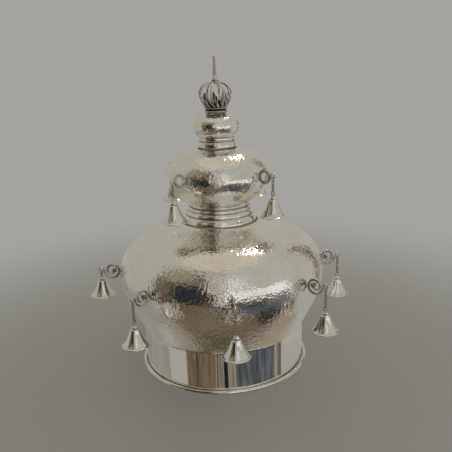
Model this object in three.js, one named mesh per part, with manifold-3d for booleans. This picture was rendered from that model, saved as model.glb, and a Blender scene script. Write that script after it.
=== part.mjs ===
// A silver Torah crown: three hollow bulbs, one above another on a plain band, joined by ringed
// collars, topped by a small cast crown with a spire, and hung round with bells on scroll arms.
//
// Millimetres, +Z up. The origin is the centre of the underside, where the crown stands on its rim.
// Angles round the crown start at -Y, its front, and grow towards +X.

import * as THREE from 'three';
import { mergeVertices } from 'three/addons/utils/BufferGeometryUtils.js';
import Module from 'manifold-3d';

const wasm = await Module();
wasm.setup();

// Driving dimensions.
const RIM_RADIUS = 90; // the whole crown is scaled from its 180 mm foot
const RIM_HEIGHT = 3.2;
const RIM_WIDTH = 4.2;
const BAND_RADIUS = 85.5;
const BAND_TOP = 42;
const SHEET = 1; // thickness of the raised silver sheet
const JOINT_GAP = 0.4; // left between pieces that are soldered together

// Sides of the turned work, fewer on the smaller pieces.
const LARGE_SIDES = 36;
const MIDDLE_SIDES = 26;
const COLLAR_SIDES = 22;
const SMALL_SIDES = 18;
const BELL_SIDES = 8;

const LOWER_ARMS = 8;
const BELL_LIP_RADIUS = 12.9;
const BELL_HEIGHT = 21.3; // from the lip to the top of the knob
const CHAIN_BAR = 0.9;
const LINK_WIDTH = 4.2;
const ARM_WIDTH = 1.8;
const HOOK_RADIUS = 2;

const TURN = 2 * Math.PI;
const DEGREE = Math.PI / 180;

// Finishes. Everything is the same silver: raised and hammered, turned and polished, or cast.
const polished = new THREE.MeshStandardMaterial({ color: 0xe6e3dc, roughness: 0.08, metalness: 1 });
const hammered = new THREE.MeshStandardMaterial({ color: 0xdedbd3, roughness: 0.16, metalness: 1 });
const cast = new THREE.MeshStandardMaterial({ color: 0xc4bfb4, roughness: 0.28, metalness: 1 });

const crown = new THREE.Group();
crown.name = 'torah_crown';

function addPiece(name, geometry, material) {
  const piece = new THREE.Mesh(geometry, material);
  piece.name = name;
  crown.add(piece);
  return piece;
}

// ---------------------------------------------------------------- shared ways of making things

// Revolves a profile of [radius, height] pairs about Z. The profile runs up the outside and down
// the inside, and either closes on itself or starts and ends on the axis.
function turned(profile, sides) {
  const points = profile.map(([radius, height]) => new THREE.Vector2(radius, height));
  return new THREE.LatheGeometry(points, sides).rotateX(Math.PI / 2);
}

// Moves a profile inwards by one sheet thickness, square to its own line.
function inset(profile, thickness) {
  return profile.map(([radius, height], i) => {
    const [r0, z0] = profile[Math.max(i - 1, 0)];
    const [r1, z1] = profile[Math.min(i + 1, profile.length - 1)];
    const length = Math.hypot(r1 - r0, z1 - z0);
    const inner = radius - (thickness * (z1 - z0)) / length;
    return [Math.max(inner, 0), height + (thickness * (r1 - r0)) / length];
  });
}

// A raised vessel of even thickness. Its inner face takes every second point of the outer one.
function raisedShell(outer, sides) {
  const last = outer.length - 1;
  const inner = inset(outer, SHEET).filter((_, i) => i % 2 === 0 || i === last);
  inner.reverse();
  const closed = outer[last][0] === 0 ? [...inner, ...outer] : [...outer, ...inner, outer[0]];
  return turned(closed, sides);
}

// A turned collar: rounded rings one above another round a plain bore.
function ringedCollar(rings, wall, sides) {
  const outer = [];
  for (const { bottom, top, radius, lean, proud } of rings) {
    outer.push([radius + lean, bottom]);
    outer.push([radius + proud, (bottom + top) / 2]);
    outer.push([radius - lean, top]);
  }
  const [bottomRadius, bottomHeight] = outer[0];
  const [topRadius, topHeight] = outer[outer.length - 1];
  const bore = [
    [topRadius - wall, topHeight],
    [bottomRadius - wall, bottomHeight],
  ];
  return turned([...outer, ...bore, outer[0]], sides);
}

function toSolid(geometry) {
  const bare = geometry.clone();
  bare.deleteAttribute('normal');
  bare.deleteAttribute('uv');
  const merged = mergeVertices(bare, 1e-4);
  const vertProperties = new Float32Array(merged.attributes.position.array);
  const triVerts = new Uint32Array(merged.index.array);
  return new wasm.Manifold(new wasm.Mesh({ numProp: 3, vertProperties, triVerts }));
}

// Joins geometries that were cast or soldered as one piece.
function fused(geometries) {
  const solids = geometries.map(toSolid);
  const { vertProperties, triVerts } = solids.reduce((sum, next) => sum.add(next)).getMesh();
  const geometry = new THREE.BufferGeometry();
  geometry.setAttribute('position', new THREE.Float32BufferAttribute(vertProperties, 3));
  geometry.setIndex(Array.from(triVerts));
  return geometry;
}

// A flat bar that follows a line of [x, z] points in the XZ plane. `thicknessAt` gives its size in
// that plane from the share of the way along, and `across` is its size along Y.
function flatBar(line, thicknessAt, across) {
  const sides = [1, -1].map((side) =>
    line.map(([x, z], i) => {
      const [x0, z0] = line[Math.max(i - 1, 0)];
      const [x1, z1] = line[Math.min(i + 1, line.length - 1)];
      const reach = (side * thicknessAt(i / (line.length - 1))) / 2 / Math.hypot(x1 - x0, z1 - z0);
      return new THREE.Vector2(x + reach * (z1 - z0), z - reach * (x1 - x0));
    }),
  );
  const outline = new THREE.Shape([...sides[0], ...sides[1].reverse()]);
  const flat = new THREE.ExtrudeGeometry(outline, { depth: across, bevelEnabled: false });
  return flat.translate(0, 0, -across / 2).rotateX(Math.PI / 2);
}

// ---------------------------------------------------------------- the foot

// A half-round wire bound round the bottom of the band, on which the crown stands.
function makeRim() {
  const inner = RIM_RADIUS - RIM_WIDTH;
  const profile = [
    [RIM_RADIUS - 0.8, 0],
    [RIM_RADIUS, RIM_HEIGHT * 0.45],
    [RIM_RADIUS - 1.4, RIM_HEIGHT],
    [inner, RIM_HEIGHT * 0.7],
    [inner, 0],
  ];
  addPiece('base_rim', turned([...profile, profile[0]], LARGE_SIDES), polished);
}

// The plain mirror-polished band that slips down over the mantle and its rollers.
function makeBand() {
  const inner = BAND_RADIUS - SHEET;
  const profile = [
    [BAND_RADIUS, 0],
    [BAND_RADIUS, BAND_TOP],
    [inner, BAND_TOP],
    [inner, 0],
  ];
  addPiece('base_band', turned([...profile, profile[0]], LARGE_SIDES), polished);
}

// ---------------------------------------------------------------- bulbs and collars

// The widest bulb: high shoulders, a long taper to the band, and a flared skirt under the collar.
function makeLargeBulb() {
  const outer = [
    [85.3, BAND_TOP + JOINT_GAP],
    [91.6, 54],
    [98.4, 68],
    [103.6, 81],
    [106.6, 93],
    [107, 103],
    [104.9, 114],
    [100, 124],
    [91.5, 133.5],
    [79, 141.3],
    [64, 146.2],
    [52, 148.2],
    [44, 150.6],
    [40, 153.4],
  ];
  addPiece('large_bulb', raisedShell(outer, LARGE_SIDES), hammered);
}

function makeLowerCollar() {
  const rings = [
    { bottom: 153.8, top: 161.6, radius: 36.6, lean: 1.6, proud: 0.8 },
    { bottom: 161.6, top: 166, radius: 34, lean: 0.9, proud: 0.8 },
    { bottom: 166, top: 170.4, radius: 32.4, lean: 0.7, proud: 0.8 },
    { bottom: 170.4, top: 174, radius: 31.9, lean: -0.6, proud: -0.1 },
  ];
  addPiece('lower_collar', ringedCollar(rings, SHEET + 1, COLLAR_SIDES), polished);
}

function makeMiddleBulb() {
  const outer = [
    [33.2, 174 + JOINT_GAP],
    [41, 178.4],
    [47.4, 184.8],
    [51.8, 192],
    [53.8, 200.4],
    [52.4, 208],
    [47.6, 216],
    [39.6, 223],
    [30, 227.2],
    [20, 228.8],
  ];
  addPiece('middle_bulb', raisedShell(outer, MIDDLE_SIDES), hammered);
}

function makeUpperCollar() {
  const rings = [
    { bottom: 229.2, top: 232.4, radius: 19, lean: 0.3, proud: 0.5 },
    { bottom: 232.4, top: 236.2, radius: 18.4, lean: 0.2, proud: 0.6 },
    { bottom: 236.2, top: 239.6, radius: 18.2, lean: -0.2, proud: -0.2 },
  ];
  addPiece('upper_collar', ringedCollar(rings, SHEET + 0.6, SMALL_SIDES), polished);
}

// The smallest bulb is closed on top, where the cast crown stands.
function makeSmallBulb() {
  const outer = [
    [18.6, 239.6 + JOINT_GAP],
    [22.6, 244.4],
    [24.4, 250.4],
    [23.4, 255.6],
    [19.4, 259.8],
    [12.6, 262.2],
    [0, 263],
  ];
  addPiece('small_bulb', raisedShell(outer, SMALL_SIDES + 2), hammered);
}

// ---------------------------------------------------------------- the cast finial

const ARCHES = 8;
const CROWN_FOOT = 263.4;
const CROWN_WAIST = 283; // height of the widest point of the arches
const CROWN_RADIUS = 16.8;
const COLLAR_TOP = 296.6;
const FIRST_ARCH = -19 * DEGREE;

// A small openwork crown: a flaring circlet, a pointed leaf under each bulging arch, and a button
// on top where the arches meet.
function makeFinialCrown() {
  const circlet = [
    [10.8, CROWN_FOOT],
    [11.2, 267],
    [10.4, 268.2],
    [13, 272],
    [14.6, 277.5],
    [13.2, 277.5],
    [9, 268.5],
    [9, CROWN_FOOT],
  ];
  const button = [
    [0, 291.4],
    [3.4, 291.8],
    [4.2, 293.6],
    [2.6, COLLAR_TOP],
    [0, COLLAR_TOP],
  ];
  const ring = turned([...circlet, circlet[0]], 2 * ARCHES).rotateZ(FIRST_ARCH + TURN / 32);
  const parts = [ring, turned(button, ARCHES)];
  const archLine = [
    [13.2, 275],
    [CROWN_RADIUS - 0.9, CROWN_WAIST],
    [11.8, 290],
    [3, 293],
  ];
  const leafOutline = new THREE.Shape([
    new THREE.Vector2(0, 273.5),
    new THREE.Vector2(3, 278.5),
    new THREE.Vector2(0, 284.5),
    new THREE.Vector2(-3, 278.5),
  ]);
  for (let i = 0; i < ARCHES; i += 1) {
    const arch = flatBar(archLine, () => 1.5, 1.9);
    parts.push(arch.rotateZ(FIRST_ARCH - Math.PI / 2 + (i * TURN) / ARCHES));
    const leaf = new THREE.ExtrudeGeometry(leafOutline, { depth: 1.2, bevelEnabled: false });
    leaf.rotateX(Math.PI / 2).translate(0, -13.6, 0);
    parts.push(leaf.rotateZ(FIRST_ARCH + ((i + 0.5) * TURN) / ARCHES));
  }
  addPiece('finial_crown', fused(parts), cast);
}

// The turned spire: ringed below, a long plain bead, then a ball at the tip.
function makeSpire() {
  const profile = [
    [0, COLLAR_TOP + JOINT_GAP],
    [2.4, COLLAR_TOP + JOINT_GAP],
    [2.9, 299.6],
    [1.9, 302.2],
    [2.5, 304.2],
    [1.6, 306.2],
    [2.1, 309.4],
    [1.3, 313.6],
    [1.7, 315.6],
    [0, 317.4],
  ];
  addPiece('spire', turned(profile, 8), cast);
}

// ---------------------------------------------------------------- scroll arms, chains and bells

// A scroll arm stands in an upright plane through the crown's axis. From a ball at its heart the
// scroll winds outwards for a turn and a quarter, touches the bulb, sweeps out underneath and
// rises to a small hook. `scroll` is the radius of the full turn.
function armGeometry(centre, height, scroll) {
  const line = [];
  for (let angle = -150; angle <= 285; angle += 54) {
    const winding = Math.min((angle + 170) / 330, 1) ** 0.8;
    const radius = scroll * (0.34 + 0.66 * winding);
    line.push([radius * Math.cos(angle * DEGREE), radius * Math.sin(angle * DEGREE)]);
  }
  const [hookX, hookZ] = hookCentre(scroll);
  line.push([hookX - 1.7 * HOOK_RADIUS, -scroll / 2]);
  for (let angle = 175; angle >= -125; angle -= 75) {
    const x = hookX + HOOK_RADIUS * Math.cos(angle * DEGREE);
    line.push([x, hookZ + HOOK_RADIUS * Math.sin(angle * DEGREE)]);
  }
  const thicknessAt = (share) => 1.1 + 0.6 * Math.sin(Math.PI * share);
  const heart = new THREE.OctahedronGeometry(0.3 * scroll, 0).translate(-0.3 * scroll, 0, 0);
  return fused([flatBar(line, thicknessAt, ARM_WIDTH), heart]).translate(centre, 0, height);
}

// Where the bell chain hangs, measured from the middle of the scroll.
function hookCentre(scroll) {
  return [scroll + 3.4, 1.5];
}

// One flat rectangular link, its length along Z and its width along X.
function linkGeometry(length, width) {
  const outline = (x, z) => [
    new THREE.Vector2(-x, -z),
    new THREE.Vector2(x, -z),
    new THREE.Vector2(x, z),
    new THREE.Vector2(-x, z),
  ];
  const face = new THREE.Shape(outline(width / 2, length / 2));
  face.holes.push(new THREE.Path(outline(width / 2 - CHAIN_BAR, length / 2 - CHAIN_BAR)));
  const link = new THREE.ExtrudeGeometry(face, { depth: CHAIN_BAR, bevelEnabled: false });
  return link.translate(0, 0, -CHAIN_BAR / 2).rotateX(Math.PI / 2);
}

// Links hung one in another, every second one turned a quarter round, fused where they touch.
function chainGeometry(top, bottom, count) {
  const bite = 0.15; // how far touching bars sink into each other
  const shared = 2 * CHAIN_BAR - bite;
  const length = (top - bottom + (count - 1) * shared) / count;
  const links = [];
  for (let i = 0; i < count; i += 1) {
    const link = linkGeometry(length, LINK_WIDTH);
    link.rotateZ(i % 2 === 0 ? Math.PI / 2 : 0);
    links.push(link.translate(0, 0, top - length / 2 - i * (length - shared)));
  }
  return fused(links);
}

// A flaring bell with a solid knob to hang by, its lip at height 0.
function bellGeometry() {
  const profile = [
    [0, 15.4],
    [3.9, 13],
    [BELL_LIP_RADIUS - 1.3, 0],
    [BELL_LIP_RADIUS, 0],
    [9, 5.4],
    [5.2, 13.4],
    [4.4, 16.8],
    [1.5, 18],
    [1.5, BELL_HEIGHT],
    [0, BELL_HEIGHT],
  ];
  return turned(profile, BELL_SIDES);
}

// One arm with its chain and bell. `angle` is measured round from the front.
function makeHangingBell(tier, number, angle, layout) {
  const { centre, height, scroll, lip, links } = layout;
  const [hookX, hookZ] = hookCentre(scroll);
  const chainTop = height + hookZ + 0.3;
  const chainBottom = lip + BELL_HEIGHT + JOINT_GAP;
  const reach = centre + hookX;
  const chain = chainGeometry(chainTop, chainBottom, links).translate(reach, 0, 0);
  const bell = bellGeometry().translate(reach, 0, lip);
  const pieces = [
    addPiece(`${tier}_arm_${number}`, armGeometry(centre, height, scroll), cast),
    addPiece(`${tier}_chain_${number}`, chain, polished),
    addPiece(`${tier}_bell_${number}`, bell, polished),
  ];
  for (const piece of pieces) {
    piece.rotation.z = angle - Math.PI / 2;
  }
}

const lowerLayout = { centre: 116, height: 104, scroll: 8, lip: 60, links: 3 };
const shortLayout = { ...lowerLayout, lip: 77, links: 1 }; // one bell hangs close under its arm
const upperLayout = { centre: 60.2, height: 204.5, scroll: 6.4, lip: 166, links: 3 };
const SHORT_CHAIN = 7; // number of the lower arm that carries it
const UPPER_ANGLES = [43, 137, 223, 317]; // degrees: two pairs, a little closer in front and behind

function makeBells() {
  for (let number = 1; number <= LOWER_ARMS; number += 1) {
    const layout = number === SHORT_CHAIN ? shortLayout : lowerLayout;
    makeHangingBell('lower', number, ((number - 1) * TURN) / LOWER_ARMS, layout);
  }
  UPPER_ANGLES.forEach((angle, i) => {
    makeHangingBell('upper', i + 1, angle * DEGREE, upperLayout);
  });
}

makeRim();
makeBand();
makeLargeBulb();
makeLowerCollar();
makeMiddleBulb();
makeUpperCollar();
makeSmallBulb();
makeFinialCrown();
makeSpire();
makeBells();

export default crown;
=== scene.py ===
import bmesh
import bpy
import numpy as np
from mathutils import Matrix


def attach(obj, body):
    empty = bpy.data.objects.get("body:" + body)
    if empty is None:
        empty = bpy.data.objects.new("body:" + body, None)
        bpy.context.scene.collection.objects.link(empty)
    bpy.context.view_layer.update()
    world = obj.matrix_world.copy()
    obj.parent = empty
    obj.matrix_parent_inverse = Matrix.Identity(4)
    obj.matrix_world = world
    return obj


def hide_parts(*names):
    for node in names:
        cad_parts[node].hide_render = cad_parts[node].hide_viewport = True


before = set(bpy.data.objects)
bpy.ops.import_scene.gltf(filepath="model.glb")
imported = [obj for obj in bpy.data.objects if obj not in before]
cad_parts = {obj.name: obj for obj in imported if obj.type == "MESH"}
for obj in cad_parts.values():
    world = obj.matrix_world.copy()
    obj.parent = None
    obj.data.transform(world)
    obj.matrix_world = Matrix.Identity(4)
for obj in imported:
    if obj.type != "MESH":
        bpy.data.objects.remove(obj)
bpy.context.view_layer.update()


# ---- The band and its rim ---------------------------------------------------------------------
# The foot is a plain hoop of sheet silver, rolled, soldered shut and burnished to a mirror.
# A half-round wire soldered round its lower edge stiffens it and takes the wear of the shelf.

MM = 0.001


def line_through(points, step):
    """A smooth line through the points: between two neighbours it is the cubic that leaves each of
    them parallel to the chord of the points beside it. It is then cut into equal lengths near step."""
    p = np.asarray(points, float)
    p = np.vstack([2 * p[0] - p[1], p, 2 * p[-1] - p[-2]])
    t = np.linspace(0, 1, 24, endpoint=False)[None, :, None]
    a, b, c, d = (p[i:len(p) - 3 + i, None] for i in range(4))
    line = b + t / 2 * (c - a + t * (2 * a - 5 * b + 4 * c - d + t * (3 * b - a - 3 * c + d)))
    return evenly(np.vstack([line.reshape(-1, p.shape[1]), p[-2]]), step)


def evenly(line, step):
    """The same line with its points at equal distances: each is found by its share of the length."""
    along = np.concatenate([[0], np.cumsum(np.linalg.norm(np.diff(line, axis=0), axis=1))])
    want = np.linspace(0, along[-1], max(int(round(along[-1] / step)), 1) + 1)
    return np.stack([np.interp(want, along, line[:, k]) for k in range(line.shape[1])], axis=1)


def turned(profile, turns):
    """A surface of revolution: the point (r, z) of the profile goes to (r sin t, -r cos t, z) as t
    goes once round. A profile that climbs outside and comes down inside faces outwards."""
    t = np.linspace(0, 2 * np.pi, turns, endpoint=False)
    r, z = profile[:, 0, None], profile[:, 1, None]
    return np.stack([r * np.sin(t), -r * np.cos(t), z + 0 * t], axis=-1)


def skin(grid, hollow=0.0, rows_meet=False, turns_meet=True):
    """Four-sided faces between neighbouring points of a grid, whose last line joins the first where
    that direction meets itself. hollow is how deep each point lies in a crevice, from 0 to 1."""
    n, m = grid.shape[:2]
    i = np.arange(n if rows_meet else n - 1)[:, None]
    j = np.arange(m if turns_meet else m - 1)[None, :]
    up, on = (i + 1) % n, (j + 1) % m
    faces = np.stack([i * m + j, i * m + on, up * m + on, up * m + j], axis=-1)
    return grid.reshape(-1, 3), faces.reshape(-1, 4), (np.zeros((n, m)) + hollow).ravel()


def piece(name, skins, material, slot, *nodes):
    """One object from its skins, given in millimetres, with doubled points merged so that seams and
    poles close. It rides on the root and stands for the CAD nodes, which it hides. The slot
    argument is not used."""
    first = np.cumsum([0] + [len(points) for points, faces, hollow in skins])
    points = np.concatenate([s[0] for s in skins]) * MM
    faces = np.concatenate([s[1] + k for s, k in zip(skins, first)]).astype(np.int32)
    mesh = bpy.data.meshes.new(name)
    mesh.vertices.add(len(points))
    mesh.vertices.foreach_set("co", points.ravel())
    mesh.loops.add(faces.size)
    mesh.loops.foreach_set("vertex_index", faces.ravel())
    mesh.polygons.add(len(faces))
    mesh.polygons.foreach_set("loop_start", np.arange(0, faces.size, 4, dtype=np.int32))
    mesh.polygons.foreach_set("use_smooth", np.ones(len(faces), bool))
    hollow = mesh.attributes.new("hollow", "FLOAT", "POINT")
    hollow.data.foreach_set("value", np.concatenate([s[2] for s in skins]))
    mesh.update(calc_edges=True)
    work = bmesh.new()
    work.from_mesh(mesh)
    bmesh.ops.remove_doubles(work, verts=work.verts, dist=1e-7)
    work.to_mesh(mesh)
    work.free()
    mesh.materials.append(material)
    made = bpy.data.objects.new(name, mesh)
    bpy.context.collection.objects.link(made)
    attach(made, "root")
    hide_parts(*nodes)
    return made


def silver(name, clean, film, share, cloud, gloss, relief=(), dark=None, reach=(0.35, 0.9)):
    """Bare silver, metal all through. A warm film lies in soft clouds, cloud millimetres across, and
    covers share of it at most. Finer smudges move the roughness between the two values of gloss.
    relief lists (kind, x, y, z size, depth), all in millimetres, for what is too fine for the mesh.
    dark is the oxide's colour, which follows the piece's own hollow value over reach."""
    made = bpy.data.materials.new(name)
    made.use_nodes = True
    tree = made.node_tree
    metal = tree.nodes["Principled BSDF"]
    metal.inputs["Metallic"].default_value = 1.0
    place = tree.nodes.new("ShaderNodeTexCoord").outputs["Object"]

    def noise(size, detail):
        node = tree.nodes.new("ShaderNodeTexNoise")
        node.inputs["Scale"].default_value = 1 / (size * MM)
        node.inputs["Detail"].default_value = detail
        tree.links.new(place, node.inputs["Vector"])
        return node.outputs["Fac"]

    def between(value, low, high, to_low, to_high):
        node = tree.nodes.new("ShaderNodeMapRange")
        for socket, number in zip(node.inputs[1:5], (low, high, to_low, to_high)):
            socket.default_value = number
        tree.links.new(value, node.inputs[0])
        return node.outputs[0]

    def mixed(factor, low, high):
        node = tree.nodes.new("ShaderNodeMix")
        node.data_type = "RGBA"
        tree.links.new(factor, node.inputs["Factor"])
        for socket, colour in ((node.inputs["A"], low), (node.inputs["B"], high)):
            if isinstance(colour, tuple):
                socket.default_value = (*colour, 1)
            else:
                tree.links.new(colour, socket)
        return node.outputs["Result"]

    colour = mixed(between(noise(cloud, 4), 0.46, 0.7, 0, share), clean, film)
    rough = between(noise(cloud * 0.23, 5), 0.35, 0.7, *gloss)
    if dark:
        crevice = tree.nodes.new("ShaderNodeAttribute")
        crevice.attribute_name = "hollow"
        depth = between(crevice.outputs["Fac"], *reach, 0, 1)
        colour = mixed(depth, colour, dark)
        deeper = tree.nodes.new("ShaderNodeMath")
        deeper.operation = "MULTIPLY_ADD"
        deeper.inputs[1].default_value = 0.35
        tree.links.new(depth, deeper.inputs[0])
        tree.links.new(rough, deeper.inputs[2])
        rough = deeper.outputs[0]
    tree.links.new(colour, metal.inputs["Base Color"])
    tree.links.new(rough, metal.inputs["Roughness"])
    below = None
    for kind, x, y, z, depth in relief:
        spread = tree.nodes.new("ShaderNodeMapping")
        spread.inputs["Scale"].default_value = (1 / (x * MM), 1 / (y * MM), 1 / (z * MM))
        tree.links.new(place, spread.inputs["Vector"])
        grain = tree.nodes.new("ShaderNodeTexVoronoi" if kind == "marks" else "ShaderNodeTexNoise")
        grain.inputs["Scale"].default_value = 1.0
        tree.links.new(spread.outputs["Vector"], grain.inputs["Vector"])
        height = grain.outputs["Distance" if kind == "marks" else "Fac"]
        if kind == "marks":
            square = tree.nodes.new("ShaderNodeMath")
            square.operation = "POWER"
            square.inputs[1].default_value = 2.0
            tree.links.new(height, square.inputs[0])
            height = square.outputs[0]
        bump = tree.nodes.new("ShaderNodeBump")
        bump.inputs["Strength"].default_value = 1.0
        bump.inputs["Distance"].default_value = depth * MM
        tree.links.new(height, bump.inputs["Height"])
        if below:
            tree.links.new(below, bump.inputs["Normal"])
        below = bump.outputs["Normal"]
    if below:
        tree.links.new(below, metal.inputs["Normal"])
    return made


def uneven(grid, size, height, seed):
    """What the hand leaves: each point moves away from the axis by the sum of twelve sine waves of
    random direction and start, size millimetres long, together about height millimetres high."""
    rng = np.random.default_rng(seed)
    way = rng.normal(size=(12, 3))
    way *= 2 * np.pi / size / np.linalg.norm(way, axis=1, keepdims=True)
    rise = np.sin(grid @ way.T + rng.uniform(0, 2 * np.pi, 12)).sum(axis=-1) * height / 4
    out = grid[..., :2] / np.maximum(np.linalg.norm(grid[..., :2], axis=-1, keepdims=True), 1e-6)
    return grid + np.concatenate([out * rise[..., None], 0 * rise[..., None]], axis=-1)


burnished = silver("burnished_silver", (0.93, 0.905, 0.855), (0.84, 0.79, 0.70), 0.5, 26,
                   (0.045, 0.085), [("lines", 30, 30, 0.5, 0.0012), ("lines", 9, 9, 9, 0.012)])

band_radius, band_top, sheet = 85.5, 42.3, 1.0
band_outside = evenly(np.array([(band_radius, 0.1), (band_radius, band_top - 0.5)]), 2.0)
band_edge = [(band_radius - 0.04, band_top - 0.1), (band_radius - 0.5, band_top),
             (band_radius - 0.85, band_top - 0.1)]
band_inside = [(band_radius - sheet, band_top - 0.5), (band_radius - sheet, 20.0),
               (band_radius - sheet, 0.1)]
band_foot = [(band_radius - 0.8, 0.0), (band_radius - 0.2, 0.0)]
band = turned(np.vstack([band_outside, band_edge, band_inside, band_foot]), 288)
piece("band", [skin(uneven(band, 46, 0.05, 3), rows_meet=True)], burnished, "polished_silver",
      "base_band")

rim_width, rim_height = 3.9, 2.9
over = np.linspace(-8, 180, 15)
rim_line = np.stack([89.6 - rim_width / 2 + rim_width / 2 * np.cos(np.radians(over)),
                     0.45 + (rim_height - 0.45) * np.sin(np.radians(over))], axis=1)
rim_line = np.vstack([[(89.0, 0.0)], rim_line, [(85.9, 0.0)]])
rim_hollow = np.interp(rim_line[:, 0], [85.9, 87.0], [1, 0])[:, None] * (rim_line[:, 1:] > 0.3)
rim_silver = silver("rim_silver", (0.93, 0.9, 0.84), (0.74, 0.67, 0.56), 0.7, 9, (0.07, 0.16),
                    [("lines", 2.2, 2.2, 1.1, 0.01)], (0.16, 0.13, 0.1))
rim = uneven(turned(rim_line, 288), 25, 0.05, 4)
piece("rim", [skin(rim, rim_hollow, rows_meet=True)], rim_silver, "polished_silver", "base_rim")


# ---- The large bulb ---------------------------------------------------------------------------
# The widest part was raised by hand from a disc of sheet silver and planished all over, so every
# stroke of the hammer left a shallow bright dish. It sits on the band and is soldered to it.


def beaten(profile, turns, mark, depth, seed):
    """A turned surface with hammer marks. The marks' centres lie in rows, mark millimetres apart,
    each moved by chance within its own cell. A point moves out along the profile's normal by depth
    times the square of its distance from the nearest centre, counted in marks, so a mark is a
    shallow dish and ridges run between them. Returns the grid and how near a ridge each point is."""
    rng = np.random.default_rng(seed)
    along = np.concatenate([[0], np.cumsum(np.linalg.norm(np.diff(profile, axis=0), axis=1))])
    s, r = along[:, None], profile[:, 0, None]
    t = np.linspace(0, 2 * np.pi, turns, endpoint=False)[None, :]
    rows = int(along[-1] / mark) + 6
    radius = np.interp((np.arange(rows) - 1.5) * mark, along, profile[:, 0])
    count = np.maximum(np.rint(2 * np.pi * radius / mark), 5).astype(int)
    chance = rng.random((3, rows, count.max()))
    nearest = np.full((len(along), turns), np.inf)
    force = np.zeros_like(nearest)
    for row_step in (-1, 0, 1):
        row = np.floor(s / mark).astype(int) + 2 + row_step
        cells = count[row]
        here = np.floor(t / (2 * np.pi) * cells).astype(int)
        for cell_step in (-1, 0, 1):
            cell = (here + cell_step) % cells
            ds = s - (row - 2 + chance[0][row, cell]) * mark
            dt = (t - (cell + chance[1][row, cell]) / cells * 2 * np.pi + np.pi) % (2 * np.pi) - np.pi
            gap = (ds ** 2 + (r * dt) ** 2) / mark ** 2
            force = np.where(gap < nearest, chance[2][row, cell], force)
            nearest = np.minimum(gap, nearest)
    rise = depth * (0.8 + 0.4 * force) * (np.minimum(nearest, 0.8) - 0.25)
    slope = np.gradient(profile, axis=0)
    slope /= np.linalg.norm(slope, axis=1, keepdims=True)
    grid = turned(profile, turns)
    side = np.stack([slope[:, 1, None] * np.sin(t), -slope[:, 1, None] * np.cos(t),
                     -slope[:, 0, None] + 0 * t], axis=-1)
    return grid + side * rise[..., None], np.clip(nearest / 0.6, 0, 1)


inner_rows = 14


def bulb(name, node, outline, turns, step, mark, depth, material, seed, closed=False):
    """A beaten bulb with its wall's thickness: the outline outside, and inside the same outline
    moved in by the sheet's thickness along its normal, smooth, as the stake leaves it."""
    outside = line_through(outline, step)
    slope = np.gradient(outside, axis=0)
    slope /= np.linalg.norm(slope, axis=1, keepdims=True)
    inside = outside + sheet * np.stack([-slope[:, 1], slope[:, 0]], axis=1)
    inside = inside[np.linspace(len(inside) - 1, 0, inner_rows).astype(int)]
    inside[:, 0] = np.maximum(inside[:, 0], 0)
    if closed:
        inside[0, 0] = outside[-1, 0] = 0
    outer, ridge = beaten(outside, turns, mark, depth, seed)
    if closed:
        outer[-1] = outer[-1].mean(axis=0)
    outer = uneven(outer, 21, 0.06, seed + 50)
    ridges = np.concatenate([ridge, np.zeros((inner_rows, turns))])
    both = np.concatenate([outer, turned(inside, turns)])
    return piece(name, [skin(both, ridges, rows_meet=not closed)], material, "hammered_silver", node)


hammered = silver("hammered_silver", (0.95, 0.925, 0.87), (0.86, 0.80, 0.69), 0.6, 32,
                  (0.05, 0.11), [("marks", 2.1, 2.1, 2.1, 0.15), ("lines", 1.1, 1.1, 1.1, 0.014)])
large_outline = [(85.4, 42.2), (91.6, 54), (98.4, 68), (103.6, 81), (106.6, 93), (107, 103),
                 (104.9, 114), (100, 124), (91.5, 133.5), (79, 141.3), (64, 146.2), (52, 148.2),
                 (44, 150.6), (40, 153.4)]
bulb("large_bulb_beaten", "large_bulb", large_outline, 600, 1.12, 3.3, 0.26, hammered, 11)


# ---- The lower collar -------------------------------------------------------------------------
# A turned neck of four rounded rings, one above another, joins the large bulb to the middle one.
# It was spun on the lathe and left bright, with tarnish in the grooves that no cloth reaches.


def ringed(name, node, rings, wall, turns, material):
    """A stack of rings as one turned wall. Up each ring the radius leans evenly from radius + lean
    to radius - lean and swells between by proud times the root of the sine of half a turn; the
    inside is plain. Points near the ends of a ring lie in the hollow between two rings."""
    share = np.linspace(0, 1, 13)
    outside, hollow = [], []
    for bottom, top, radius, lean, proud in rings:
        swell = np.sqrt(np.sin(np.pi * share)) * (proud + 0.45) - 0.45
        outside.append(np.stack([radius + lean * (1 - 2 * share) + swell,
                                 bottom + (top - bottom) * share], axis=1))
        hollow.append(1 - np.clip(np.sin(np.pi * share) / 0.45, 0, 1))
    outside = np.vstack(outside)
    inside = np.stack([np.interp(np.linspace(rings[-1][1], rings[0][0], 8),
                                 outside[:, 1], outside[:, 0]).clip(0, min(r[2] for r in rings)) - wall,
                       np.linspace(rings[-1][1], rings[0][0], 8)], axis=1)
    hollow = np.concatenate(hollow + [np.zeros(8)])[:, None]
    grid = uneven(turned(np.vstack([outside, inside]), turns), 30, 0.05, 7)
    return piece(name, [skin(grid, hollow, rows_meet=True)], material, "polished_silver", node)


collar_silver = silver("collar_silver", (0.94, 0.915, 0.86), (0.78, 0.71, 0.58), 0.6, 12,
                       (0.06, 0.14), [("lines", 14, 14, 0.35, 0.003), ("lines", 4, 4, 2, 0.012)],
                       (0.15, 0.125, 0.09))
lower_rings = [(153.8, 161.3, 36.6, 1.6, 0.8), (161.3, 166.2, 34, 0.9, 0.8),
               (166.2, 169.8, 32.4, 0.7, 0.8), (169.8, 174.2, 31.9, -0.6, 0.1)]
ringed("lower_collar_rings", "lower_collar", lower_rings, 1.8, 200, collar_silver)


# ---- The middle bulb --------------------------------------------------------------------------
# A smaller raised bulb of the same sheet, planished with the same hammer, so its marks are as wide
# as the large one's. It sits in the collar's flared lip and is soldered from inside.

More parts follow.
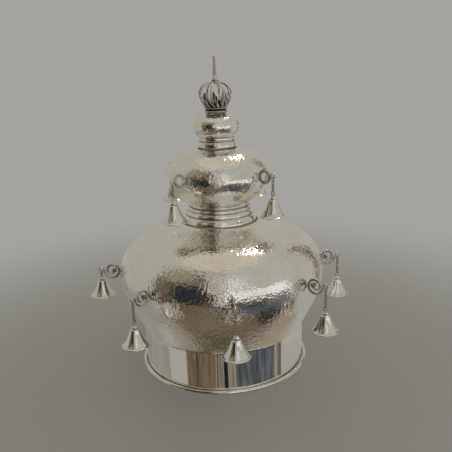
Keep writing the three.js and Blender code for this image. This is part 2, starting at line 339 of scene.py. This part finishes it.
middle_outline = [(33.2, 174.4), (41, 178.4), (47.4, 184.8), (51.8, 192), (53.8, 200.4),
                  (52.4, 208), (47.6, 216), (39.6, 223), (30, 227.2), (20, 228.8)]
bulb("middle_bulb_beaten", "middle_bulb", middle_outline, 400, 0.85, 3.2, 0.28, hammered, 23)


# ---- The upper collar -------------------------------------------------------------------------
# The second neck is spun like the first, at half the size: a broad ring and a plain lip between
# the middle bulb and the small one, bright on their backs and dull in the grooves.

upper_rings = [(229.2, 235.9, 18.8, 0.4, 0.9), (235.9, 239.8, 18.2, -0.2, 0.0)]
ringed("upper_collar_rings", "upper_collar", upper_rings, 1.5, 144, collar_silver)


# ---- The small bulb ---------------------------------------------------------------------------
# The top bulb is raised with a closed crown and beaten with a lighter hammer. The cast finial is
# soldered to its top.

small_outline = [(18.6, 240), (22.6, 244.4), (24.4, 250.4), (23.4, 255.6), (19.4, 259.8),
                 (12.6, 262.2), (6, 262.9), (0.01, 263)]
bulb("small_bulb_beaten", "small_bulb", small_outline, 240, 0.6, 2.7, 0.24, hammered, 37,
     closed=True)


# ---- The finial crown -------------------------------------------------------------------------
# A small openwork crown, cast in one: a beaded circlet, a leaf between every two arches, eight
# bulging arches, and a button where they meet. Oxide was left in its hollows to show the modelling.


def swept(path, side, across, up):
    """A bar carried along a path: every point of its section lies across along side, and up along
    the path's own normal, which is the cross product of side and the path's direction."""
    along = np.gradient(path, axis=0)
    along /= np.linalg.norm(along, axis=1, keepdims=True)
    out = np.cross(side, along)
    out /= np.linalg.norm(out, axis=1, keepdims=True)
    return path[:, None] + across[..., None] * side + up[..., None] * out[:, None]


def capped(grid):
    """The same bar with each end drawn together to its middle point, so that the end closes."""
    first, last = grid[:1].mean(axis=1, keepdims=True), grid[-1:].mean(axis=1, keepdims=True)
    return np.concatenate([np.repeat(first, grid.shape[1], 1), grid,
                           np.repeat(last, grid.shape[1], 1)])


def around(grid, angle):
    """The grid turned about the upright axis, from the front towards the right, by angle degrees."""
    c, s = np.cos(np.radians(angle)), np.sin(np.radians(angle))
    return grid @ np.array([[c, s, 0], [-s, c, 0], [0, 0, 1]])


def ball(centre, radius, rows=7, turns=10):
    """A ball: the point at height radius sin u stands radius cos u from its middle line."""
    u = np.linspace(-np.pi / 2, np.pi / 2, rows)
    return turned(np.stack([radius * np.cos(u), radius * np.sin(u)], axis=1), turns) + centre


cast = silver("cast_silver", (0.86, 0.83, 0.77), (0.5, 0.44, 0.36), 0.8, 3.5, (0.1, 0.24),
              [("lines", 0.9, 0.9, 0.9, 0.05)], (0.035, 0.03, 0.025), (0.25, 0.85))
arches, first_arch = 8, -19.0
circlet = line_through([(10.4, 263.4), (11.3, 264.2), (11.3, 265.6), (10.5, 266.5), (10.7, 267.2),
                        (11.3, 267.9), (11.2, 268.7), (10.5, 269.4)], 0.35)
circlet = np.vstack([circlet, [(9.3, 269.2), (9.2, 266.0), (9.2, 263.4)]])
ring = turned(circlet, 192)
turn = np.linspace(0, 2 * np.pi, 192, endpoint=False)[None, :]
scallop = np.abs(np.sin(16 * turn)) * np.exp(-((circlet[:, 1:] - 264.9) / 0.9) ** 2)
pearl = np.abs(np.sin(24 * turn)) * np.exp(-((circlet[:, 1:] - 268.2) / 0.7) ** 2)
stand = (0.45 * scallop + 0.55 * pearl - 0.35) * (circlet[:, :1] > 10)
ring[..., :2] *= 1 + stand[..., None] / 11
ring_dark = np.clip(1.15 - 1.5 * (scallop + pearl), 0, 1) * (circlet[:, :1] > 10)
crown_skins = [skin(ring, ring_dark, rows_meet=True)]

# The basket's wall ends in eight leaves, one between every two arches, each with a rib and veins.
wall = line_through([(10.2, 268.6), (11.6, 270.4), (13.4, 273.0), (14.5, 276.4), (14.3, 280.6),
                     (13.4, 284.5)], 0.4)
leaf_turn = np.radians(first_arch + 22.5)
lobe = (0.5 + 0.5 * np.cos(arches * (turn - leaf_turn)))
share = np.linspace(0, 1, len(wall))[:, None]
reach = 0.30 + 0.62 * lobe ** 1.3
wall_way = share * reach
leaf_r = np.interp(wall_way, share[:, 0], wall[:, 0])
leaf_z = np.interp(wall_way, share[:, 0], wall[:, 1])
vein = np.abs(np.sin(arches * (turn - leaf_turn) + 6.0 * wall_way)) ** 2
rib = np.exp(-(1 - lobe) / 0.03)
leaf_relief = 0.55 * rib + 0.45 * vein * (1 - rib) + 0.5 * np.exp(-((share - 1) / 0.1) ** 2)
leaf_out = leaf_r + leaf_relief - 0.3
leaf_dark = np.clip(1.1 - 1.6 * leaf_relief, 0, 1) * np.clip(share / 0.08, 0, 1)
leaf_in = leaf_r - 0.9


def upright(r, z):
    """Points at radius r and height z for each step of the turn."""
    return np.stack([r * np.sin(turn), -r * np.cos(turn), z + 0 * turn], axis=-1)


crown_skins.append(skin(np.concatenate([upright(leaf_out, leaf_z), upright(leaf_in, leaf_z)[::-1]]),
                        np.concatenate([leaf_dark, 0.7 + 0 * leaf_dark]), rows_meet=True))

# Each arch is a grooved strap with a pearl on its shoulder, and ends under the button.
arch_line = line_through([(13.9, 0, 274.6), (15.6, 0, 279.0), (15.9, 0, 283.2), (14.6, 0, 287.2),
                          (11.0, 0, 290.6), (6.8, 0, 292.3), (2.6, 0, 292.9)], 0.35)
side = np.array([[0.0, 1.0, 0.0]])
way = np.linspace(0, 1, len(arch_line))
bend = np.linspace(0, 2 * np.pi, 16, endpoint=False)
round_across = np.sign(np.cos(bend)) * np.abs(np.cos(bend)) ** 0.83
round_up = np.sign(np.sin(bend)) * np.abs(np.sin(bend)) ** 0.83
beads = np.abs(np.sin(26 * way))[:, None]
strap = capped(swept(arch_line, side, (1.25 - 0.45 * way)[:, None] * round_across,
                     (0.95 - 0.2 * way)[:, None] * round_up + 0.3 * beads * np.clip(round_up, 0, 1)))
groove = np.tile(np.abs(np.sin(np.linspace(0, 2 * np.pi, 16, endpoint=False))) > 0.95,
                 (len(strap), 1)) * 0.55
shoulders = [ball(np.array([16.9, 0, 283.6]), 0.95), ball(np.array([15.2, 0, 276.0]), 0.8),
             ball(np.array([12.4, 0, 290.6]), 0.6)]
for n in range(arches):
    angle = first_arch - 90 + n * 360 / arches
    crown_skins.append(skin(around(strap, angle), groove))
    crown_skins += [skin(around(bead, angle), 0.15) for bead in shoulders]
button = line_through([(0.01, 291.2), (2.6, 291.4), (4.1, 292.4), (4.3, 293.4), (3.0, 294.3),
                       (3.3, 295.2), (2.7, 296.3), (0.01, 296.6)], 0.35)
button_dark = np.exp(-((button[:, 1:] - 294.3) / 0.5) ** 2)
crown_skins.append(skin(turned(button, 64), button_dark))
piece("finial_crown_cast", crown_skins, cast, "cast_silver", "finial_crown")


# ---- The spire --------------------------------------------------------------------------------
# A tapering turned rod screwed into the button: a knop at its foot, close rings up its length and
# a pearl at the tip.

spire_line = line_through([(0.01, 297), (2.3, 297.0), (2.9, 297.9), (2.2, 298.9), (1.9, 299.4)],
                          0.25)
rod_z = np.linspace(299.6, 315.6, 130)
rod_share = (rod_z - rod_z[0]) / (rod_z[-1] - rod_z[0])
rod_ring = np.abs(np.sin(np.pi * 9 * rod_share ** 0.85))
rod = 2.1 - 0.75 * rod_share + 0.42 * (rod_ring - 0.6)
tip = line_through([(1.0, 315.9), (1.5, 316.6), (1.65, 317.4), (1.35, 318.3), (0.6, 318.8),
                    (0.01, 318.9)], 0.25)
spire_profile = np.vstack([spire_line, np.stack([rod, rod_z], axis=1), tip])
spire_dark = np.concatenate([np.zeros(len(spire_line)),
                             np.clip(1 - 1.5 * rod_ring, 0, 1),
                             np.zeros(len(tip))])[:, None]
spire_silver = silver("spire_silver", (0.88, 0.83, 0.74), (0.62, 0.5, 0.36), 0.8, 3, (0.1, 0.2),
                      [("lines", 1.5, 1.5, 0.5, 0.02)], (0.06, 0.045, 0.03), (0.3, 0.95))
piece("spire_turned", [skin(turned(spire_profile, 48), spire_dark)], spire_silver, "cast_silver",
      "spire")


# ---- The scroll arms --------------------------------------------------------------------------
# Twelve cast arms, eight round the large bulb and four round the middle one, are soldered on edge.
# Each is a scroll with a pearled outer edge and a small curled hook; a lower one has a bud inside.


hook_out, hook_up, hook_radius = 3.4, 1.5, 2.2  # out from the scroll's edge, up from its middle


def arm(centre, height, scroll, coil, start, ball_heart):
    """One arm in the plane of x and z. Its line winds out from start degrees to 345, its radius
    growing from coil of scroll to the whole, leaves the turn on the far side and curls into the
    hook. The strap swells in the middle; a groove parts its pearled outer edge from its face."""
    angle = np.linspace(start, 345, int((345 - start) / 11))
    share = (angle - start) / (345 - start)
    radius = scroll * (coil + (1 - coil) * np.minimum(1.3 * share, 1) ** 0.8)
    winding = np.stack([radius * np.cos(np.radians(angle)), radius * np.sin(np.radians(angle))], 1)
    hook_x = scroll + hook_out
    curl = np.radians(np.arange(150, -160, -22))
    hook = np.stack([hook_x + hook_radius * np.cos(curl), hook_up + hook_radius * np.sin(curl)],
                    axis=1)
    line = line_through(np.vstack([winding, [(scroll + 0.5, 0.2)], hook]), 0.36)
    path = np.stack([line[:, 0], 0 * line[:, 0], line[:, 1]], axis=1)
    along = np.linspace(0, 1, len(path))[:, None]
    strap_part = np.clip((0.86 - along) / 0.04, 0, 1)
    pearls = np.abs(np.sin(np.pi * along * 0.36 * len(path) / 1.9)) * strap_part
    swell = np.sin(np.pi * np.clip(along * 1.1, 0, 1))
    half = np.array([(1.0, -0.5), (1.0, -0.12), (0.74, 0.05), (0.92, 0.3), (0.82, 0.7), (0.45, 1.0),
                     (0.0, 1.08)])
    section = np.vstack([half, half[-2::-1] * (-1, 1), [(-0.5, -0.8), (0.0, -0.9), (0.5, -0.8)]])
    across = section[:, 0] * (0.62 + 0.62 * swell)
    up = section[:, 1] * (0.62 + 0.72 * swell) * (1 + 0.34 * (pearls - 0.5) * (section[:, 1] > 0.2))
    bar = swept(path, np.array([[0.0, -1.0, 0.0]]), across, up)
    groove = (np.abs(section[:, 1] - 0.05) < 0.04) * 1.0
    back = (section[:, 1] < -0.4) * 0.45
    dark = ((1 - pearls) * (section[:, 1] > 0.2) * 0.9 + groove + back).clip(0, 1) * strap_part
    dark = np.concatenate([dark[:1], dark, dark[-1:]])
    skins = [skin(capped(bar), dark)]
    if ball_heart:
        u = np.linspace(-np.pi / 2, np.pi / 2, 13)[:, None]
        v = np.linspace(0, 2 * np.pi, 36, endpoint=False)[None, :]
        petal = np.abs(np.cos(2.5 * v))
        heart_r = 0.33 * scroll * np.cos(u) * (0.75 + 0.25 * petal)
        heart = np.stack([heart_r * np.cos(v) - 0.3 * scroll, -0.34 * scroll * np.sin(u) + 0 * v,
                          heart_r * np.sin(v)], axis=-1)
        skins.append(skin(heart, (0.5 + 0.5 * (1 - petal) + 0 * u).clip(0, 1)))
    moved = np.array([centre, 0, height])
    return [(points + moved, faces, hollow) for points, faces, hollow in skins]


def hung(skins, angle):
    """The same skins turned from the right of the crown to angle degrees from its front."""
    return [(around(points, angle - 90), faces, hollow) for points, faces, hollow in skins]


lower_tier = dict(centre=116.0, height=104.0, scroll=8.0, coil=0.3, start=-150, ball_heart=True)
upper_tier = dict(centre=60.2, height=204.5, scroll=6.4, coil=0.7, start=-260, ball_heart=False)
places = [("lower", n + 1, 45.0 * n, lower_tier, 77.0 if n == 6 else 60.0) for n in range(8)]
places += [("upper", n + 1, a, upper_tier, 166.0) for n, a in enumerate((43.0, 137.0, 223.0, 317.0))]
arm_silver = silver("arm_silver", (0.9, 0.875, 0.82), (0.36, 0.31, 0.24), 0.9, 2, (0.06, 0.16),
                    [("lines", 0.9, 0.9, 0.9, 0.11)], (0.03, 0.025, 0.02), (0.3, 0.9))
for tier, number, angle, layout, lip in places:
    piece(f"{tier}_arm_{number}_cast", hung(arm(**layout), angle), arm_silver, "cast_silver",
          f"{tier}_arm_{number}")


# ---- The bell chains --------------------------------------------------------------------------
# Cable chain of round silver wire: oval links, each a quarter turn round from the last, between
# the arm's hook and the larger ring in the bell's eye. One chain on the left is a single link pair.

wire = 0.5
link_pitch = 3.3
eye_height = 20.9  # of the middle of the bell's eye above its lip


def link(middle, length, width, turn_by):
    """One link: a round wire along the oval whose points are width/2 |cos a|^0.75 across and
    length/2 |sin a|^0.85 up, turned about the upright line by turn_by degrees."""
    a = np.linspace(0, 2 * np.pi, 26, endpoint=False)
    across = (width / 2 - wire) * np.sign(np.cos(a)) * np.abs(np.cos(a)) ** 0.75
    up = (length / 2 - wire) * np.sign(np.sin(a)) * np.abs(np.sin(a)) ** 0.85
    line = np.stack([across, 0 * a, up], axis=1)
    along = np.roll(line, -1, axis=0) - np.roll(line, 1, axis=0)
    along /= np.linalg.norm(along, axis=1, keepdims=True)
    out = np.cross([0.0, 1.0, 0.0], along)
    b = np.linspace(0, 2 * np.pi, 8, endpoint=False)[None, :, None]
    tube = line[:, None] + wire * (np.cos(b) * -out[:, None] + np.sin(b) * np.array([0.0, 1.0, 0.0]))
    return skin(around(tube, turn_by) + middle, 0.12 + 0.2 * np.abs(np.cos(b[..., 0])), rows_meet=True)


chain_silver = silver("chain_silver", (0.88, 0.855, 0.8), (0.6, 0.55, 0.46), 0.7, 3, (0.1, 0.22),
                      [("lines", 0.7, 0.7, 0.7, 0.03)], (0.05, 0.042, 0.034), (0.05, 0.5))
for tier, number, angle, layout, lip in places:
    reach_x = layout["centre"] + layout["scroll"] + hook_out
    top, bottom = layout["height"] + 0.35, lip + 21.0
    count = max(int(round((top - bottom - 2 * wire) / link_pitch)), 2)
    pitch = (top - bottom - 2 * wire) / count
    length = pitch + 4 * wire
    links = []
    for n in range(count):
        middle = np.array([reach_x, 0, top + wire - length / 2 - n * pitch])
        links.append(link(middle, length * (1.04 if n == count - 1 else 1.0),
                          4.4 if n == count - 1 else 3.1, 90 * (n % 2) + 12 * np.sin(5 * n + number)))
    piece(f"{tier}_chain_{number}_links", hung(links, angle), chain_silver, "chain_silver",
          f"{tier}_chain_{number}")


# ---- The bells --------------------------------------------------------------------------------
# Each bell is spun from thin sheet and polished: a flaring skirt with a turned-out lip, a narrow
# shoulder, and a short collar with a soldered eye that the chain's last ring passes through.

bell_silver = silver("bell_silver", (0.95, 0.93, 0.885), (0.82, 0.76, 0.66), 0.6, 7, (0.05, 0.12),
                     [("lines", 6, 6, 0.4, 0.003), ("lines", 5, 5, 5, 0.02)], (0.14, 0.12, 0.09),
                     (0.2, 0.9))
skirt = line_through([(12.2, 0.0), (12.85, 0.25), (12.9, 0.8), (12.2, 1.3), (11.3, 1.9), (9.2, 5.0),
                      (7.2, 9.0), (5.5, 13.2), (4.8, 15.4), (4.5, 16.4), (3.9, 17.0), (3.0, 17.2),
                      (2.9, 17.9), (2.9, 18.9), (2.4, 19.5), (0.01, 19.6)], 0.42)
inner = line_through([(0.01, 15.6), (3.4, 15.0), (4.4, 12.6), (6.3, 8.6), (8.4, 4.8), (11.4, 0.9),
                      (12.2, 0.0)], 1.1)
bell_line = np.vstack([inner, skirt[1:]])
bell_hollow = np.concatenate([0.15 * np.ones(len(inner)),
                              0.9 * np.exp(-((skirt[1:, 1] - 17.4) / 0.35) ** 2)
                              + 0.6 * np.exp(-((skirt[1:, 1] - 1.75) / 0.2) ** 2)])[:, None]
bell_body = turned(bell_line, 72)
eye = link(np.array([0.0, 0.0, eye_height]), 4.2, 4.2, 0)
for tier, number, angle, layout, lip in places:
    reach_x = layout["centre"] + layout["scroll"] + hook_out
    at = np.array([reach_x, 0, lip])
    body = skin(uneven(bell_body + at, 14, 0.04, number), bell_hollow)
    piece(f"{tier}_bell_{number}_spun", hung([body, (eye[0] + at, eye[1], eye[2])], angle),
          bell_silver, "bell_silver", f"{tier}_bell_{number}")


# ---- The studio -------------------------------------------------------------------------------
# A pale glass shelf, plain pale surroundings, one soft lamp above, and the room that the silver
# mirrors: mottled cards in plain tones, each a patch of a large sphere round the crown.

world = bpy.data.worlds.new("studio")
bpy.context.scene.world = world
world.use_nodes = True
world.node_tree.nodes["Background"].inputs["Color"].default_value = (0.371, 0.366, 0.347, 1)
bpy.context.scene.view_settings.view_transform = "Standard"

shelf_turn = np.linspace(0, 2 * np.pi, 96, endpoint=False)
shelf_rows = np.array([(r, 0.0) for r in (1.0, 300.0, 900.0, 1600.0)])
shelf_points, shelf_faces, _ = skin(turned(shelf_rows, 96)[::-1])
shelf_mesh = bpy.data.meshes.new("shelf")
shelf_mesh.from_pydata((shelf_points * MM).tolist(), [], shelf_faces.tolist())
shelf = bpy.data.objects.new("shelf", shelf_mesh)
bpy.context.collection.objects.link(shelf)
shelf.visible_glossy = False
shelf_look = bpy.data.materials.new("shelf_glass")
shelf_look.use_nodes = True
nodes, links = shelf_look.node_tree.nodes, shelf_look.node_tree.links
glass = nodes["Principled BSDF"]
glass.inputs["Base Color"].default_value = (0.50, 0.495, 0.46, 1)
glass.inputs["Roughness"].default_value = 0.3
glass.inputs["Specular IOR Level"].default_value = 0.25
clear = nodes.new("ShaderNodeBsdfTransparent")
blend = nodes.new("ShaderNodeMixShader")
where = nodes.new("ShaderNodeTexCoord")
far = nodes.new("ShaderNodeVectorMath")
far.operation = "LENGTH"
fade = nodes.new("ShaderNodeMapRange")
fade.interpolation_type = "SMOOTHSTEP"
fade.inputs[1].default_value, fade.inputs[2].default_value = 0.2, 0.62
links.new(where.outputs["Object"], far.inputs[0])
links.new(far.outputs["Value"], fade.inputs[0])
links.new(fade.outputs[0], blend.inputs[0])
links.new(glass.outputs[0], blend.inputs[1])
links.new(clear.outputs[0], blend.inputs[2])
links.new(blend.outputs[0], nodes["Material Output"].inputs["Surface"])
shelf_mesh.materials.append(shelf_look)

view_from = -4.7  # degrees from the crown's front to where the camera stands


cards = []


def card(name, colour, other, azimuth, elevation, grain=0.05, ragged=0.04):
    """A card: the patch of a sphere between two azimuths, counted rightwards from the camera, and
    two elevations. It glows in two colours mottled in clouds grain metres across, and a noise as
    deep as ragged eats into its edges. Each card lies 10 mm nearer than the one before it."""
    away = 1.35 - 0.01 * len(cards)
    a = np.radians(np.linspace(*azimuth, 49) + view_from)[None, :]
    e = np.radians(np.linspace(*elevation, 25))[:, None]
    grid = away * np.stack([np.cos(e) * np.sin(a), -np.cos(e) * np.cos(a), np.sin(e) + 0 * a], -1)
    grid[..., 2] += 0.1
    sideways = np.minimum(a - a[0, 0], a[0, -1] - a) * np.cos(e)
    if azimuth[1] - azimuth[0] == 360:
        sideways = 9 + 0 * sideways
    edge = away * np.minimum(sideways, np.minimum(e - e[0], e[-1] - e))
    points, faces, _ = skin(grid, turns_meet=False)
    mesh = bpy.data.meshes.new(name)
    mesh.from_pydata(points.tolist(), [], faces.tolist())
    mesh.attributes.new("edge", "FLOAT", "POINT").data.foreach_set("value", edge.ravel())
    made = bpy.data.objects.new(name, mesh)
    bpy.context.collection.objects.link(made)
    for kind in ("camera", "diffuse", "shadow", "transmission"):
        setattr(made, "visible_" + kind, False)
    look = bpy.data.materials.new(name)
    look.use_nodes = True
    tree = look.node_tree
    tree.nodes.remove(tree.nodes["Principled BSDF"])
    place = tree.nodes.new("ShaderNodeTexCoord")

    def ranged(value, low, high):
        node = tree.nodes.new("ShaderNodeMapRange")
        node.inputs[1].default_value, node.inputs[2].default_value = low, high
        tree.links.new(value, node.inputs[0])
        return node.outputs[0]

    def noise(size):
        node = tree.nodes.new("ShaderNodeTexNoise")
        node.inputs["Scale"].default_value = 1 / size
        node.inputs["Detail"].default_value = 4
        tree.links.new(place.outputs["Object"], node.inputs["Vector"])
        return node.outputs["Fac"]

    colours = tree.nodes.new("ShaderNodeMix")
    colours.data_type = "RGBA"
    colours.inputs["A"].default_value, colours.inputs["B"].default_value = (*colour, 1), (*other, 1)
    tree.links.new(ranged(noise(grain), 0.42, 0.6), colours.inputs["Factor"])
    glow = tree.nodes.new("ShaderNodeEmission")
    tree.links.new(colours.outputs["Result"], glow.inputs["Color"])
    border = tree.nodes.new("ShaderNodeAttribute")
    border.attribute_name = "edge"
    eaten = tree.nodes.new("ShaderNodeMath")
    eaten.operation = "MULTIPLY_ADD"
    eaten.inputs[1].default_value = -2 * ragged
    tree.links.new(ranged(noise(1.7 * ragged), 0.3, 0.7), eaten.inputs[0])
    tree.links.new(border.outputs["Fac"], eaten.inputs[2])
    clear = tree.nodes.new("ShaderNodeBsdfTransparent")
    blend = tree.nodes.new("ShaderNodeMixShader")
    tree.links.new(ranged(eaten.outputs[0], -0.003, 0.009), blend.inputs[0])
    tree.links.new(clear.outputs[0], blend.inputs[1])
    tree.links.new(glow.outputs[0], blend.inputs[2])
    tree.links.new(blend.outputs[0], tree.nodes["Material Output"].inputs["Surface"])
    mesh.materials.append(look)
    cards.append(made)


# The walls and the ceiling of the room.
card("room_left", (0.41, 0.4, 0.355), (0.38, 0.37, 0.325), (-180, -80), (-18, 62), 0.2)
card("room_left_low", (0.29, 0.29, 0.26), (0.25, 0.25, 0.22), (-180, -82), (-52, -16), 0.2)
card("room_right", (0.43, 0.42, 0.37), (0.4, 0.39, 0.34), (84, 180), (-30, 62), 0.2)
card("ceiling", (0.6, 0.56, 0.48), (0.42, 0.38, 0.32), (-180, 180), (60, 89.5), 0.12, 0.03)
card("wall_right", (0.44, 0.45, 0.41), (0.36, 0.37, 0.335), (8, 88), (4, 62), 0.09)
card("wall_front", (0.6, 0.57, 0.54), (0.17, 0.14, 0.105), (-19, 11), (-20, 62), 0.05)
card("panel_lilac", (0.8, 0.79, 0.84), (0.4, 0.37, 0.33), (2, 26), (14, 46), 0.05, 0.05)
# The figure that stands before it, with what it holds.
card("figure", (0.2, 0.17, 0.115), (0.045, 0.037, 0.025), (-78, -15), (-18, 52), 0.055, 0.05)
card("figure_head", (0.34, 0.31, 0.22), (0.14, 0.12, 0.085), (-74, -34), (24, 56), 0.05, 0.05)
card("figure_edge", (0.13, 0.075, 0.06), (0.06, 0.045, 0.04), (-78, -56), (-25, -2), 0.05)
card("camera_dark", (0.006, 0.01, 0.015), (0.035, 0.042, 0.05), (-54, -20), (-18, 22), 0.05, 0.03)
card("camera_side", (0.008, 0.008, 0.008), (0.06, 0.055, 0.045), (-26, -8), (-24, 7), 0.04, 0.03)
# What lies below the shelf.
card("below_left", (0.3, 0.28, 0.235), (0.2, 0.18, 0.145), (-112, -60), (-90, -40), 0.06, 0.09)
card("below_brown", (0.215, 0.165, 0.115), (0.09, 0.067, 0.045), (-78, 84), (-90, -42), 0.06, 0.05)
card("below_right", (0.34, 0.29, 0.23), (0.22, 0.18, 0.14), (78, 128), (-90, -42), 0.08, 0.03)
card("below_green", (0.05, 0.052, 0.028), (0.11, 0.1, 0.06), (-80, 50), (-86, -68), 0.05, 0.03)
# The upright edges and panels that the band mirrors.
card("cloth_brown", (0.17, 0.125, 0.085), (0.11, 0.08, 0.052), (-54, -12), (-46, -15), 0.07, 0.006)
card("cloth_line", (0.04, 0.03, 0.03), (0.07, 0.05, 0.04), (-40, -37), (-46, -15), 0.05, 0.004)
card("edge_dark", (0.05, 0.045, 0.04), (0.03, 0.03, 0.03), (-12, -9), (-46, -22), 0.05, 0.003)
card("gap_tan", (0.24, 0.2, 0.15), (0.14, 0.11, 0.08), (-9, -2.6), (-46, -22), 0.05, 0.003)
card("edge_black", (0.01, 0.01, 0.01), (0.03, 0.03, 0.03), (-2.6, 4.2), (-46, -22), 0.05, 0.003)
card("panel_tan", (0.28, 0.23, 0.18), (0.18, 0.14, 0.11), (4.2, 13.5), (-46, -22), 0.05, 0.003)
card("panel_blue", (0.05, 0.058, 0.066), (0.12, 0.135, 0.145), (13.5, 73), (-46, -21), 0.07, 0.004)
card("panel_low", (0.02, 0.02, 0.018), (0.06, 0.055, 0.045), (44, 80), (-60, -37), 0.05, 0.03)
card("panel_light", (0.5, 0.56, 0.66), (0.2, 0.21, 0.24), (18, 27), (-50, -38), 0.03, 0.02)
card("edge_tan", (0.33, 0.27, 0.2), (0.24, 0.19, 0.14), (73, 77), (-48, -22), 0.05, 0.003)
card("edge_grey", (0.16, 0.135, 0.11), (0.1, 0.085, 0.07), (77, 85), (-48, -22), 0.05, 0.003)
card("strip", (0.16, 0.085, 0.085), (0.07, 0.055, 0.035), (119, 132), (-28, 40), 0.05, 0.03)
# Bright panes and lamps of the room.
card("window", (1.15, 1.15, 1.13), (0.3, 0.3, 0.28), (2, 74), (-11, 11), 0.032, 0.04)
card("window_low", (0.008, 0.008, 0.008), (0.3, 0.3, 0.29), (6, 74), (-27, -9), 0.04, 0.03)
card("black_low", (0.008, 0.008, 0.008), (0.05, 0.05, 0.045), (-12, 46), (-27, -20), 0.05, 0.012)
card("spot_left", (1.2, 1.18, 1.1), (0.8, 0.78, 0.7), (-82, -75), (-47, -41), 0.03, 0.01)
card("spot_right", (1.2, 1.18, 1.1), (0.8, 0.78, 0.7), (90, 96), (-45, -39), 0.03, 0.01)

lamp_data = bpy.data.lights.new("lamp", "AREA")
lamp_data.shape = "DISK"
lamp_data.size = 0.13
lamp_data.energy = 0.9
lamp_data.use_shadow = False
lamp_data.color = (1.0, 0.96, 0.88)
lamp = bpy.data.objects.new("lamp", lamp_data)
bpy.context.collection.objects.link(lamp)
lamp_az, lamp_el = np.radians(140 + view_from), np.radians(62)
lamp.location = (1.15 * np.cos(lamp_el) * np.sin(lamp_az), -1.15 * np.cos(lamp_el) * np.cos(lamp_az),
                 0.1 + 1.15 * np.sin(lamp_el))
lamp.rotation_euler = (np.pi / 2 - lamp_el, 0, lamp_az)


# ---- The camera -------------------------------------------------------------------------------
# It stands about 0.6 m away and a little above the top of the large bulb's shoulder, looks down
# at 16 degrees, and leans two degrees to the left.

turn_off, pitch, yaw, roll = np.radians([view_from, 15.62, 0.60, -1.94])
ahead = np.array([np.sin(yaw) * np.cos(pitch), np.cos(yaw) * np.cos(pitch), -np.sin(pitch)])
right = np.array([np.cos(yaw), -np.sin(yaw), 0.0])
above = np.cross(right, ahead)
right, above = (np.cos(roll) * right + np.sin(roll) * above,
                np.cos(roll) * above - np.sin(roll) * right)
stand = np.array([0.0, -590.5, 310.4]) * MM
spin = np.array([[np.cos(turn_off), -np.sin(turn_off), 0], [np.sin(turn_off), np.cos(turn_off), 0],
                 [0, 0, 1]])
pose = np.eye(4)
pose[:3, 0], pose[:3, 1], pose[:3, 2], pose[:3, 3] = (spin @ right, spin @ above, -spin @ ahead,
                                                      spin @ stand)
camera_data = bpy.data.cameras.new("camera")
camera_data.sensor_width = 36.0
camera_data.lens = 46.26
camera_data.dof.use_dof = False
camera = bpy.data.objects.new("camera", camera_data)
bpy.context.collection.objects.link(camera)
camera.matrix_world = Matrix(pose.tolist())
bpy.context.scene.camera = camera
